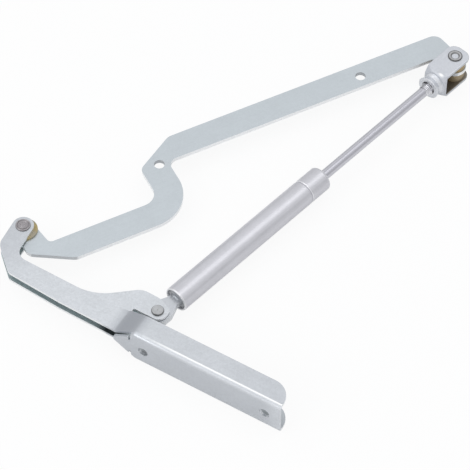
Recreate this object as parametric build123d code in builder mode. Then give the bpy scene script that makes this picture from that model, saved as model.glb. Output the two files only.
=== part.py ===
from build123d import *

import os
from math import atan2, cos, degrees, hypot, radians, sin

# Lid support with a gas strut. X runs along the bracket's web towards its free end, Y away from the web's
# outer face, Z along the hinge axes. The origin is midway between the two screw holes, on the outer face.

# Folded bracket
sheet = 1.5
plate_gap = 4.6
web_half = 11.6
web_end = 47.7
flange_depth = 14.4
flange_corner = 11.0
bend_radius = 3.0
joggle_high_x = -44.4
joggle_low_x = -58.0
joggle_high_bend = 5.0
joggle_low_bend = 4.0
relief_x = -46.2
relief_width = 1.2
relief_half = 5.0
near_edge = 2.0
screw_spacing = 76.4
screw_hole = 6.0

# Pivots on the bracket
pivot_x, pivot_y = -140.8, 36.2
pin_x, pin_y = -44.6, 25.2
pivot_plate_round = 6.1
pin_plate_round = 5.9
slit_y = 18.5
slit_width = 2.6
slit_end_x = -56.5
slit_corner = 0.6
tongue_half, tongue_tip_half, tongue_tip_x, tongue_corner = 7.4, 1.6, -57.2, 0.6

# Corners of the pivot plates' outline: elbow and toe near the pivot, hump above the strut's rivet
elbow_outer, elbow_outer_round = (-145.0, 18.7), 8.0
plate_toe, plate_toe_round = (-129.3, 4.7), 5.0
plate_waist, plate_waist_round = (-94.0, 2.6), 60.0
tab_rise, tab_round = 3.8, 3.0
hump_right, hump_right_round = (-47.5, 33.0), 12.0
hump_left, hump_left_round = (-59.5, 33.3), 10.0
inner_middle, inner_middle_round = (-80.5, 15.9), 30.0
elbow_inner, elbow_inner_round = (-132.9, 16.7), 7.5

# Lid arm: a cranked flat bar, drawn in its own frame from the pivot, along and across the legs
arm_sheet = 2.5
leg_angle = 58.0
leg_width = 16.4
lower_leg = -24.0
upper_leg = 15.8
neck_along = 85.3
tip_along, tip_across = 277.2, -2.0
arm_pivot_round = 6.3
foot_toe, foot_toe_round = (-4.9, -18.0), 5.0
foot_heel_along, foot_heel_round = 18.0, 8.0
foot_inner_along, foot_inner_round = 8.9, 3.0
neck_outer_round, neck_heel_round, neck_inner_round, neck_top_round = 25.0, 5.5, 9.0, 5.0
neck_step = 1.5
shoulder_round = 8.0
arm_tip_round = 7.0
tip_inner_round, tip_outer_round, tip_outer_along = 4.0, 6.0, 2.8
arm_screw_hole = 6.2
first_screw = (88.3, 7.6)
second_screw = (223.3, 15.0)

# Rivets, bush and washers; running is the radial clearance of every pivot
running = 0.05
rivet_radius = 2.5
pivot_head_radius, pivot_head_height = 4.25, 0.6
head_ring_outer, head_ring_inner, head_ring_depth = 3.4, 2.5, 0.2
head_edge = 0.3
pin_head_radius, pin_head_height, pin_head_edge = 3.5, 2.1, 0.5
bush_wall = 1.0
washer_radius = 7.6
washer_shift = (1.2, -0.8)
pin_end_gap = 0.1

# Gas strut, size 6/15
tube_radius = 7.5
tube_wall = 1.0
tube_start = 14.0
tube_length = 119.5
groove_from_end = 15.2
groove_depth = 0.4
groove_half = 0.7
lip_radius = 1.8
rim_outer_round, rim_inner_round = 0.6, 0.25
rod_radius = 3.0
mouth_play = 0.5
rod_shoulder = 0.5
eye_radius = 6.8
blade_play = 0.3
shoulder_x, shoulder_round_eye = 4.0, 3.0
neck_x, neck_round_eye = 11.6, 1.5
tang_half = 3.6
plug_recess = 1.1
plug_length = 8.0
plug_outer_round, plug_inner_round = 0.8, 0.5
stud_radius = 3.0
stud_length = 5.4
guide_length = 6.4
seal_length = 4.0
piston_from_end = 19.0
piston_length = 7.0
piston_running = 0.1
ring_width, ring_depth = 2.0, 1.2
spigot_radius = 2.2
piston_nut_radius, piston_nut_height = 4.0, 2.5

# Fork at the rod's end
fork_half_height = 8.8
fork_sheet = 2.0
fork_width = 13.8
fork_reach = 6.9
fork_base_x = -18.2
fork_base_sheet = 2.8
fork_bend = 3.8
fork_corner = 5.0
fork_inner_bend = 0.8
socket_foot = 6.7
socket_waist, socket_waist_rise, socket_blend = 5.8, 1.2, 3.0
socket_mouth, socket_lip = 7.2, 0.8
socket_end_x = -23.8
socket_bore, socket_bore_depth, socket_chamfer = 4.3, 1.6, 0.3
thread_radius = 2.5
nut_across, nut_height = 7.2, 2.0
spacer_radius = 6.4
rim_radius, rim_height = 4.3, 0.5
rivet_wall, rivet_recess, rim_edge = 0.5, 1.5, 0.25

# Values worked out from the ones above
stack_half = plate_gap / 2 + sheet
slit_low, slit_high = slit_y - slit_width / 2, slit_y + slit_width / 2
arm_half = arm_sheet / 2
washer_thickness = plate_gap / 2 - arm_half - running
washer_bore = rivet_radius + running + hypot(*washer_shift)
blade_thickness = plate_gap - 2 * blade_play
leg_half = leg_width / 2
lower_out, lower_in = lower_leg - leg_half, lower_leg + leg_half
upper_in, upper_out = upper_leg - leg_half, upper_leg + leg_half
neck_in, neck_out = neck_along - leg_half, neck_along + leg_half
leg_cos, leg_sin = cos(radians(leg_angle)), sin(radians(leg_angle))
tip_x = pivot_x + tip_along * leg_cos - tip_across * leg_sin
tip_y = pivot_y + tip_along * leg_sin + tip_across * leg_cos
strut_angle = atan2(tip_y - pin_y, tip_x - pin_x)
strut_length = hypot(tip_x - pin_x, tip_y - pin_y)
strut_dir = (cos(strut_angle), sin(strut_angle), 0)
tube_end = tube_start + tube_length
tube_bore = tube_radius - tube_wall
groove_x = tube_end - groove_from_end
plug_face = tube_start + plug_recess
fork_slot_half = fork_half_height - fork_sheet
fork_slot_x = fork_base_x + fork_base_sheet
rod_shoulder_x = strut_length + socket_end_x + socket_bore_depth
spacer_height = fork_slot_half - arm_half - running

arm_plane = Plane(origin=(pivot_x, pivot_y, 0), x_dir=(leg_cos, leg_sin, 0), z_dir=(0, 0, 1))
strut_plane = Plane(origin=(pin_x, pin_y, 0), x_dir=strut_dir, z_dir=(0, 0, 1))
fork_plane = Plane(origin=(tip_x, tip_y, 0), x_dir=strut_dir, z_dir=(0, 0, 1))
fork_side = Plane(origin=(tip_x, tip_y, 0), x_dir=strut_dir, z_dir=(strut_dir[1], -strut_dir[0], 0))
strut_axis = Axis((pin_x, pin_y, 0), strut_dir)
pivot_axis = Axis((pivot_x, pivot_y, 0), (0, 0, 1))
pin_axis = Axis((pin_x, pin_y, 0), (0, 0, 1))
tip_axis = Axis((tip_x, tip_y, 0), (0, 0, 1))

os.makedirs("parts", exist_ok=True)


def finish(piece, label):
    """Label a finished piece and write it as its own STEP file."""
    piece.part.label = label
    export_step(piece.part, f"parts/{label}.step")
    print(label, "volume", round(piece.part.volume, 1), "solids", len(piece.part.solids()))


def channel_elevation(inset):
    """Side elevation of the channel and its two joggles, each edge set in by the given amount."""
    shift = inset * (web_half - stack_half) / (hypot(web_half - stack_half, joggle_high_x - joggle_low_x)
                                               + joggle_high_x - joggle_low_x)
    low, high = stack_half - inset, web_half - inset
    low_x, high_x = joggle_low_x + shift, joggle_high_x + shift
    start, end = joggle_low_x - leg_half, web_end + inset
    outer, inner = joggle_high_bend - inset, joggle_low_bend + inset
    FilletPolyline(
        (start, -low), (low_x, -low), (high_x, -high), (end, -high),
        (end, high), (high_x, high), (low_x, low), (start, low),
        radius=[0, inner, outer, 0, 0, outer, inner, 0], close=True,
    )


# Hollow between the flanges, cut from the folded channel below
with BuildPart() as channel_hollow:
    with BuildSketch(Plane.XZ.offset(-sheet)):
        with BuildLine():
            channel_elevation(sheet)
        make_face()
    extrude(amount=-2 * flange_depth)
    fillet(channel_hollow.edges().group_by(Axis.Y)[0].filter_by(Axis.Z, reverse=True), bend_radius - sheet)

# Folded bracket: channel with both flanges joggled in to the pivot plates
with BuildPart() as hinge_bracket:
    with BuildSketch(Plane.XZ):
        with BuildLine():
            channel_elevation(0)
        make_face()
    extrude(amount=-1.5 * flange_depth)
    fillet(hinge_bracket.edges().group_by(Axis.Y)[0].filter_by(Axis.Z, reverse=True), bend_radius)
    add(channel_hollow.part, mode=Mode.SUBTRACT)
    # Plan outline of the channel: rounded free end, flanges narrowing from the joggle
    with BuildSketch(Plane.XY.offset(-web_half)):
        with BuildLine():
            FilletPolyline(
                (joggle_low_x, near_edge), (relief_x, near_edge), (relief_x, -sheet), (web_end, -sheet),
                (web_end, flange_depth), (joggle_high_x, flange_depth),
                (slit_end_x + slit_corner, slit_low), (joggle_low_x, slit_low),
                radius=[0, 0, 0, 0, flange_corner, joggle_high_bend, 0, 0], close=True,
            )
        make_face()
    extrude(amount=2 * web_half, mode=Mode.INTERSECT)
    # Pivot plates: an elbow with a hump above the strut's rivet
    with BuildSketch(Plane.XY.offset(plate_gap / 2)):
        with BuildLine():
            FilletPolyline(
                (pivot_x - pivot_plate_round, pivot_y), elbow_outer, plate_toe, plate_waist,
                (joggle_low_x, near_edge), (joggle_low_x, slit_low), (slit_end_x, slit_low), (slit_end_x, slit_high),
                (pin_x, slit_high), (pin_x + pin_plate_round, pin_y), (pin_x + pin_plate_round, pin_y + tab_rise),
                hump_right, hump_left, inner_middle, elbow_inner, (pivot_x + pivot_plate_round, pivot_y),
                radius=[0, elbow_outer_round, plate_toe_round, plate_waist_round, 0, 0, 0, 0, 0, 0, tab_round,
                        hump_right_round, hump_left_round, inner_middle_round, elbow_inner_round, 0], close=True,
            )
        make_face()
        with Locations((pivot_x, pivot_y)):
            Circle(pivot_plate_round)
        with Locations((pin_x, pin_y)):
            Circle(pin_plate_round)
    extrude(amount=sheet)
    mirror(about=Plane.XY)
    # Slit that frees the strut's tab from the joggle
    with BuildSketch(Plane.XY.offset(-web_half)):
        with BuildLine():
            FilletPolyline(
                (pin_x + 2 * pin_plate_round, slit_low), (slit_end_x, slit_low), (slit_end_x, slit_high),
                (pin_x + 2 * pin_plate_round, slit_high), radius=[0, slit_corner, slit_corner, 0], close=True,
            )
        make_face()
    extrude(amount=2 * web_half, mode=Mode.SUBTRACT)
    # Tongue at the web's end, beyond the bend reliefs
    with BuildSketch(Plane.XZ):
        with BuildLine():
            FilletPolyline(
                (relief_x, -relief_half), (relief_x, relief_half), (relief_x - relief_width, relief_half),
                (relief_x - relief_width, tongue_half), (tongue_tip_x, tongue_tip_half),
                (tongue_tip_x, -tongue_tip_half), (relief_x - relief_width, -tongue_half),
                (relief_x - relief_width, -relief_half),
                radius=[0, 0, 0, tongue_corner, relief_width, relief_width, tongue_corner, 0], close=True,
            )
        make_face()
    extrude(amount=-sheet)
    # Screw holes in the web, rivet holes in the plates
    with BuildSketch(Plane.XZ):
        with Locations((-screw_spacing / 2, 0), (screw_spacing / 2, 0)):
            Circle(screw_hole / 2)
    extrude(amount=-2 * sheet, mode=Mode.SUBTRACT)
    with BuildSketch(Plane.XY.offset(-stack_half)):
        with Locations((pivot_x, pivot_y), (pin_x, pin_y)):
            Circle(rivet_radius)
    extrude(amount=2 * stack_half, mode=Mode.SUBTRACT)
finish(hinge_bracket, "hinge_bracket")

# Lid arm: foot, lower leg, neck and upper leg of one flat bar
with BuildPart() as lid_arm:
    with BuildSketch(arm_plane.offset(-arm_half)):
        with BuildLine():
            FilletPolyline(
                (-arm_pivot_round, 0), foot_toe, (foot_heel_along, lower_out), (neck_out, lower_out),
                (neck_out, upper_in), (tip_along - arm_tip_round, upper_in),
                (tip_along - arm_tip_round, tip_across), (tip_along + arm_tip_round, tip_across),
                (tip_along + tip_outer_along, upper_out), (neck_out + leg_half, upper_out),
                (neck_in, upper_in + neck_step), (neck_in, lower_in), (foot_inner_along, lower_in), (arm_pivot_round, 0),
                radius=[0, foot_toe_round, foot_heel_round, neck_outer_round, neck_heel_round, tip_inner_round, 0, 0,
                        tip_outer_round, shoulder_round, neck_top_round, neck_inner_round, foot_inner_round, 0],
                close=True,
            )
        make_face()
        Circle(arm_pivot_round)
        with Locations((tip_along, tip_across)):
            Circle(arm_tip_round)
        with Locations(first_screw, second_screw):
            Circle(arm_screw_hole / 2, mode=Mode.SUBTRACT)
        Circle(rivet_radius + running + bush_wall, mode=Mode.SUBTRACT)
        with Locations((tip_along, tip_across)):
            Circle(rivet_radius + running, mode=Mode.SUBTRACT)
    extrude(amount=arm_sheet)
finish(lid_arm, "lid_arm")

# Bush pressed into the arm's pivot hole
with BuildPart() as pivot_bush:
    with BuildSketch(Plane.XY.offset(-arm_half)):
        with Locations((pivot_x, pivot_y)):
            Circle(rivet_radius + running + bush_wall)
            Circle(rivet_radius + running, mode=Mode.SUBTRACT)
    extrude(amount=arm_sheet)
finish(pivot_bush, "pivot_bush")

# Loose washers above and below the arm at the main pivot, both slid to one side on the rivet
with BuildPart() as pivot_washers:
    with BuildSketch(Plane.XY.offset(arm_half)):
        with Locations((pivot_x + washer_shift[0], pivot_y + washer_shift[1])):
            Circle(washer_radius)
            Circle(washer_bore, mode=Mode.SUBTRACT)
    extrude(amount=washer_thickness)
    mirror(about=Plane.XY)
finish(pivot_washers, "pivot_washers")

# Main pivot rivet: low heads, each with a shallow ring
head_top = stack_half + pivot_head_height
with BuildPart() as pivot_rivet:
    with BuildSketch(Plane(origin=(pivot_x, pivot_y, 0), x_dir=(1, 0, 0), z_dir=(0, -1, 0))):
        with BuildLine():
            FilletPolyline(
                (0, 0), (rivet_radius, 0), (rivet_radius, stack_half), (pivot_head_radius, stack_half),
                (pivot_head_radius, head_top), (head_ring_outer, head_top),
                (head_ring_outer - head_ring_depth, head_top - head_ring_depth),
                (head_ring_inner + head_ring_depth, head_top - head_ring_depth),
                (head_ring_inner, head_top), (0, head_top),
                radius=[0, 0, 0, 0, head_edge, 0, 0, 0, 0, 0], close=True,
            )
        make_face()
    revolve(axis=pivot_axis)
    mirror(about=Plane.XY)
finish(pivot_rivet, "pivot_rivet")

# Headed ends of the strut's lower rivet, one in each plate
with BuildPart() as strut_rivet:
    with BuildSketch(Plane(origin=(pin_x, pin_y, 0), x_dir=(1, 0, 0), z_dir=(0, -1, 0))):
        with BuildLine():
            FilletPolyline(
                (0, plate_gap / 2), (rivet_radius, plate_gap / 2), (rivet_radius, stack_half),
                (pin_head_radius, stack_half), (pin_head_radius, stack_half + pin_head_height),
                (0, stack_half + pin_head_height),
                radius=[0, 0, 0, 0, pin_head_edge, 0], close=True,
            )
        make_face()
    revolve(axis=pin_axis)
    mirror(about=Plane.XY)
finish(strut_rivet, "strut_rivet")

# Middle length of the same rivet, which stays in the strut's eye
with BuildPart() as strut_pin:
    with BuildSketch(Plane.XY.offset(pin_end_gap - plate_gap / 2)):
        with Locations((pin_x, pin_y)):
            Circle(rivet_radius)
    extrude(amount=plate_gap - 2 * pin_end_gap)
finish(strut_pin, "strut_pin")

# Bush in the strut's eye
with BuildPart() as eye_bush:
    with BuildSketch(Plane.XY.offset(-blade_thickness / 2)):
        with Locations((pin_x, pin_y)):
            Circle(rivet_radius + bush_wall)
            Circle(rivet_radius, mode=Mode.SUBTRACT)
    extrude(amount=blade_thickness)
finish(eye_bush, "eye_bush")

# Flat eye of the strut, its neck narrowing into the tube's mouth, and its stud in the plug
with BuildPart() as strut_eye:
    with BuildSketch(strut_plane.offset(-blade_thickness / 2)):
        with BuildLine():
            FilletPolyline(
                (0, -eye_radius), (shoulder_x, -eye_radius), (neck_x, -tang_half), (plug_face, -tang_half),
                (plug_face, tang_half), (neck_x, tang_half), (shoulder_x, eye_radius), (0, eye_radius),
                radius=[0, shoulder_round_eye, neck_round_eye, 0, 0, neck_round_eye, shoulder_round_eye, 0],
                close=True,
            )
        make_face()
        Circle(eye_radius)
        Circle(rivet_radius + bush_wall, mode=Mode.SUBTRACT)
    extrude(amount=blade_thickness)
    with BuildSketch(strut_plane):
        with BuildLine():
            Polyline(
                (plug_face - plug_recess, 0), (plug_face - plug_recess, stud_radius),
                (plug_face + stud_length, stud_radius), (plug_face + stud_length, 0), close=True,
            )
        make_face()
    revolve(axis=strut_axis)
finish(strut_eye, "strut_eye")

# Plug that closes the tube's lower end
with BuildPart() as end_plug:
    with BuildSketch(strut_plane):
        with BuildLine():
            FilletPolyline(
                (plug_face, stud_radius), (plug_face + stud_length, stud_radius), (plug_face + stud_length, 0),
                (plug_face + plug_length, 0), (plug_face + plug_length, tube_bore), (plug_face, tube_bore),
                radius=[0, 0, 0, 0, plug_inner_round, plug_outer_round], close=True,
            )
        make_face()
    revolve(axis=strut_axis)
finish(end_plug, "end_plug")

# Tube of the strut: open rim below, crimped groove, and a lip rolled in at the rod end
with BuildPart() as strut_tube:
    with BuildSketch(strut_plane):
        with BuildLine() as tube_section:
            FilletPolyline(
                (groove_x - groove_half, tube_radius), (tube_start, tube_radius), (tube_start, tube_bore),
                (groove_x - groove_half, tube_bore), radius=[rim_outer_round, rim_inner_round],
            )
            ThreePointArc(
                (groove_x - groove_half, tube_bore), (groove_x, tube_bore - groove_depth),
                (groove_x + groove_half, tube_bore),
            )
            FilletPolyline(
                (groove_x + groove_half, tube_bore), (tube_end - tube_wall, tube_bore),
                (tube_end - tube_wall, rod_radius + mouth_play), (tube_end, rod_radius + mouth_play),
                (tube_end, tube_radius), (groove_x + groove_half, tube_radius),
                radius=[lip_radius - tube_wall, 0, 0, lip_radius],
            )
            ThreePointArc(
                (groove_x + groove_half, tube_radius), (groove_x, tube_radius - groove_depth),
                (groove_x - groove_half, tube_radius),
            )
        make_face()
    revolve(axis=strut_axis)
finish(strut_tube, "strut_tube")


def ring_section(x, length, inner, outer):
    """Section of a ring round the strut's axis."""
    Polyline((x, inner), (x + length, inner), (x + length, outer), (x, outer), close=True)


# Rod guide, seal and backing washer between the groove and the rolled lip
guide_x = tube_end - tube_wall - guide_length
seal_x = guide_x - seal_length
washer_x = groove_x + groove_half
with BuildPart() as rod_guide:
    with BuildSketch(strut_plane):
        with BuildLine():
            FilletPolyline(
                (guide_x, rod_radius + running), (guide_x + guide_length, rod_radius + running),
                (guide_x + guide_length, tube_bore), (guide_x, tube_bore),
                radius=[0, 0, lip_radius - tube_wall, 0], close=True,
            )
        make_face()
    revolve(axis=strut_axis)
finish(rod_guide, "rod_guide")

with BuildPart() as rod_seal:
    with BuildSketch(strut_plane):
        with BuildLine():
            ring_section(seal_x, seal_length, rod_radius + running, tube_bore)
        make_face()
    revolve(axis=strut_axis)
finish(rod_seal, "rod_seal")

with BuildPart() as seal_washer:
    with BuildSketch(strut_plane):
        with BuildLine():
            ring_section(washer_x, seal_x - washer_x, rod_radius + running, tube_bore)
        make_face()
    revolve(axis=strut_axis)
finish(seal_washer, "seal_washer")

# Piston with its ring groove, held on the rod's spigot by a nut
piston_x = tube_end - piston_from_end - piston_length
piston_radius = tube_bore - piston_running
ring_x = piston_x + (piston_length - ring_width) / 2
with BuildPart() as piston:
    with BuildSketch(strut_plane):
        with BuildLine():
            Polyline(
                (piston_x, spigot_radius), (piston_x + piston_length, spigot_radius),
                (piston_x + piston_length, piston_radius), (ring_x + ring_width, piston_radius),
                (ring_x + ring_width, piston_radius - ring_depth), (ring_x, piston_radius - ring_depth),
                (ring_x, piston_radius), (piston_x, piston_radius), close=True,
            )
        make_face()
    revolve(axis=strut_axis)
finish(piston, "piston")

with BuildPart() as piston_ring:
    with BuildSketch(strut_plane):
        with BuildLine():
            ring_section(ring_x, ring_width, piston_radius - ring_depth, tube_bore - running)
        make_face()
    revolve(axis=strut_axis)
finish(piston_ring, "piston_ring")

with BuildPart() as piston_nut:
    with BuildSketch(strut_plane):
        with BuildLine():
            ring_section(piston_x - piston_nut_height, piston_nut_height, spigot_radius, piston_nut_radius)
        make_face()
    revolve(axis=strut_axis)
finish(piston_nut, "piston_nut")

# Rod: spigot for the piston, polished length, threaded end in the fork's socket
thread_end_x = strut_length + fork_slot_x
with BuildPart() as piston_rod:
    with BuildSketch(strut_plane):
        with BuildLine():
            Polyline(
                (piston_x - piston_nut_height, 0), (piston_x - piston_nut_height, spigot_radius),
                (piston_x + piston_length, spigot_radius), (piston_x + piston_length, rod_radius),
                (rod_shoulder_x - rod_shoulder, rod_radius), (rod_shoulder_x, thread_radius),
                (thread_end_x, thread_radius), (thread_end_x, 0), close=True,
            )
        make_face()
    revolve(axis=strut_axis)
finish(piston_rod, "piston_rod")

# Fork: a folded strap with a flared round socket for the rod
with BuildPart() as clevis:
    with BuildSketch(fork_side.offset(-fork_width / 2)):
        with BuildLine():
            FilletPolyline(
                (fork_base_x, -fork_half_height), (fork_reach, -fork_half_height), (fork_reach, -fork_slot_half),
                (fork_slot_x, -fork_slot_half), (fork_slot_x, fork_slot_half), (fork_reach, fork_slot_half),
                (fork_reach, fork_half_height), (fork_base_x, fork_half_height),
                radius=[fork_bend, 0, 0, fork_inner_bend, fork_inner_bend, 0, 0, fork_bend], close=True,
            )
        make_face()
    extrude(amount=fork_width)
    with BuildSketch(fork_plane.offset(-fork_half_height)):
        with BuildLine():
            FilletPolyline(
                (fork_base_x, -fork_width / 2), (fork_reach, -fork_width / 2), (fork_reach, fork_width / 2),
                (fork_base_x, fork_width / 2), radius=[0, fork_corner, fork_corner, 0], close=True,
            )
        make_face()
    extrude(amount=2 * fork_half_height, mode=Mode.INTERSECT)
    with BuildSketch(fork_plane):
        with BuildLine():
            FilletPolyline(
                (fork_base_x + sheet, 0), (fork_base_x + sheet, socket_foot),
                (fork_base_x - socket_waist_rise, socket_waist), (socket_end_x, socket_mouth), (socket_end_x, 0),
                radius=[0, 0, socket_blend, socket_lip, 0], close=True,
            )
        make_face()
    revolve(axis=strut_axis)
    with BuildSketch(fork_plane):
        with BuildLine():
            Polyline(
                (socket_end_x, 0), (socket_end_x, socket_bore + socket_chamfer),
                (socket_end_x + socket_chamfer, socket_bore), (socket_end_x + socket_bore_depth, socket_bore),
                (socket_end_x + socket_bore_depth, thread_radius), (fork_slot_x, thread_radius),
                (fork_slot_x, 0), close=True,
            )
        make_face()
    revolve(axis=strut_axis, mode=Mode.SUBTRACT)
    with BuildSketch(fork_plane.offset(-fork_half_height)):
        Circle(rivet_radius)
    extrude(amount=2 * fork_half_height, mode=Mode.SUBTRACT)
finish(clevis, "clevis")

# Nut in the mouth of the fork's socket
nut_plane = Plane(origin=fork_plane.from_local_coords((socket_end_x + socket_bore_depth, 0, 0)),
                  x_dir=(0, 0, 1), z_dir=(-strut_dir[0], -strut_dir[1], 0))
with BuildPart() as rod_nut:
    with BuildSketch(nut_plane):
        RegularPolygon(nut_across / 2, 6, major_radius=False)
        Circle(rod_radius, mode=Mode.SUBTRACT)
    extrude(amount=nut_height)
finish(rod_nut, "rod_nut")

# Rivet with rolled rims and hollow ends, through fork, spacers and arm tip
rim_top = fork_half_height + rim_height
with BuildPart() as clevis_rivet:
    with BuildSketch(fork_side):
        with BuildLine():
            FilletPolyline(
                (0, 0), (rivet_radius, 0), (rivet_radius, fork_half_height), (rim_radius, fork_half_height),
                (rim_radius, rim_top), (rivet_radius, rim_top), (rivet_radius - rivet_wall, rim_top - rivet_wall),
                (rivet_radius - 2 * rivet_wall, rim_top - rivet_recess), (0, rim_top - rivet_recess),
                radius=[0, 0, 0, 0, rim_edge, rim_edge, 0, rim_edge, 0], close=True,
            )
        make_face()
    revolve(axis=tip_axis)
    mirror(about=Plane.XY)
finish(clevis_rivet, "clevis_rivet")

# Spacers that keep the arm's tip in the middle of the fork
with BuildPart() as tip_spacers:
    with BuildSketch(fork_plane.offset(arm_half)):
        Circle(spacer_radius)
        Circle(rivet_radius + running, mode=Mode.SUBTRACT)
    extrude(amount=spacer_height)
    mirror(about=Plane.XY)
finish(tip_spacers, "tip_spacers")

print("arm length between pivots", round(hypot(tip_x - pivot_x, tip_y - pivot_y), 2))
print("strut length", round(strut_length, 2), "angle", round(degrees(strut_angle), 2))
print("tip", round(tip_x, 2), round(tip_y, 2))
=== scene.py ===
"""Lid support on a pale studio floor: bracket, cranked lid arm and gas strut in procedural finishes."""

from __future__ import annotations

import logging
import math
from dataclasses import dataclass
from enum import Enum
from functools import cached_property
from typing import Iterable, Union

import bpy
from mathutils import Euler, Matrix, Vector

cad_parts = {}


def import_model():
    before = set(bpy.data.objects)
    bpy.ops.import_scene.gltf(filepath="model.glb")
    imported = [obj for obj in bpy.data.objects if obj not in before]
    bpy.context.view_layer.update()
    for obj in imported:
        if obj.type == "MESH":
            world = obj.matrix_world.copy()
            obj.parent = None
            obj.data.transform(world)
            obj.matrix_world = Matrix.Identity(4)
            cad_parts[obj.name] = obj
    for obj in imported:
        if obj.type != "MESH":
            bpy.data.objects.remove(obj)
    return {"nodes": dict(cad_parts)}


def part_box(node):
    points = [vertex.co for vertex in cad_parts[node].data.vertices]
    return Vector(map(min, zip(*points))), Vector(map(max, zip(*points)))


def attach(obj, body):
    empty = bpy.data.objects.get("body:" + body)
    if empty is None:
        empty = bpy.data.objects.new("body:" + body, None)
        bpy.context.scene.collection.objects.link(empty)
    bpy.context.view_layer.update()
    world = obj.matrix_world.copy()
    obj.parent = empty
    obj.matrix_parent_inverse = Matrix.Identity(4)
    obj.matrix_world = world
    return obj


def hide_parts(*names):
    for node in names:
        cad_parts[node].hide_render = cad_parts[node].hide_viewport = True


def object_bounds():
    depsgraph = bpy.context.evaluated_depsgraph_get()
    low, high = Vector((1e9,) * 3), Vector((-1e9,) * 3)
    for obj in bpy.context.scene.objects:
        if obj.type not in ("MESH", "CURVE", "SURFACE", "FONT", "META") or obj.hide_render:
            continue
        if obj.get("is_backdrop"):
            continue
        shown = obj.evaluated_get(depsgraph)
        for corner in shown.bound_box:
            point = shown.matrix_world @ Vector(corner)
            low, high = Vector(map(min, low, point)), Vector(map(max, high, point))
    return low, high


logging.basicConfig(level=logging.INFO, format="%(name)s: %(message)s")
LOG = logging.getLogger("lid_support")

MM = 0.001
STRUT_FOOT = (-44.6 * MM, 25.2 * MM)
FORK_BASE = (3.98 * MM, 252.4 * MM)
WHITE = (1.0, 1.0, 1.0)
ORIGIN = (0.0, 0.0, 0.0)
QUARTER = math.pi / 2
UP_TO_X = (0.0, QUARTER, 0.0)
FACETS = 96
SOCKET_KINDS = (
    (int, "NodeSocketInt"),
    (float, "NodeSocketFloat"),
    (tuple, "NodeSocketVector"),
    (Euler, "NodeSocketRotation"),
    (bpy.types.Material, "NodeSocketMaterial"),
)

Socket = bpy.types.NodeSocket
Number = Union[float, "Scalar"]
Pair = tuple[float, float]
Triple = tuple[float, float, float]


class Body(Enum):
    """Rigid bodies that the added pieces ride with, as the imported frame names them."""

    BRACKET = "bracket"
    ROD = "rod"


class Slot(Enum):
    """Material slot names passed along with the added pieces; nothing reads them."""

    RIVET = "rivet_steel"
    ROD = "rod_chrome"
    FORK = "fork_zinc"


class Grain(Enum):
    """Direction in which a surface carries its fine working marks, as a turn about Z in degrees."""

    ALONG_WEB = 0.0
    ALONG_LEG = 58.0
    ALONG_STRUT = 77.93

    @property
    def turn(self) -> float:
        """The turn in radians."""
        return math.radians(self.value)

    def split(self, x: Scalar, y: Scalar) -> tuple[Scalar, Scalar]:
        """Components of a flat vector along the grain and to its side."""
        onward, aside = math.cos(self.turn), math.sin(self.turn)
        return x * onward + y * aside, x * aside - y * onward


class NodeTree:
    """A node tree, and the one way in which nodes are added to it."""

    def __init__(self, tree: bpy.types.NodeTree) -> None:
        """Take a tree over and empty it."""
        self.tree = tree
        tree.nodes.clear()

    def node(self, kind: str, inputs: dict, **settings: object) -> bpy.types.Node:
        """Add one node.

        Args:
            kind: the node's type.
            inputs: values, links or lists of links for its sockets, by name or number.
            settings: its properties, or the two stops of its ramp, all set before its sockets.

        Returns:
            The new node.
        """
        made = self.tree.nodes.new(kind)
        for number, (position, colour) in enumerate(settings.pop("stops", ())):
            stop = made.color_ramp.elements[number]
            stop.position, stop.color = position, (*colour, 1.0)
        for key, value in settings.items():
            setattr(made, key, value)
        for key, value in inputs.items():
            socket = made.inputs[key]
            for item in value if isinstance(value, list) else [value]:
                source = item.socket if isinstance(item, Scalar) else item
                if isinstance(source, Socket):
                    self.tree.links.new(source, socket)
                else:
                    socket.default_value = (*source, 1.0) if socket.type == "RGBA" else source
        return made

    def add(self, kind: str, inputs: dict, output: int | str = 0, **settings: object) -> Socket:
        """Add one node and take one of its outputs."""
        return self.node(kind, inputs, **settings).outputs[output]


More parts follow.
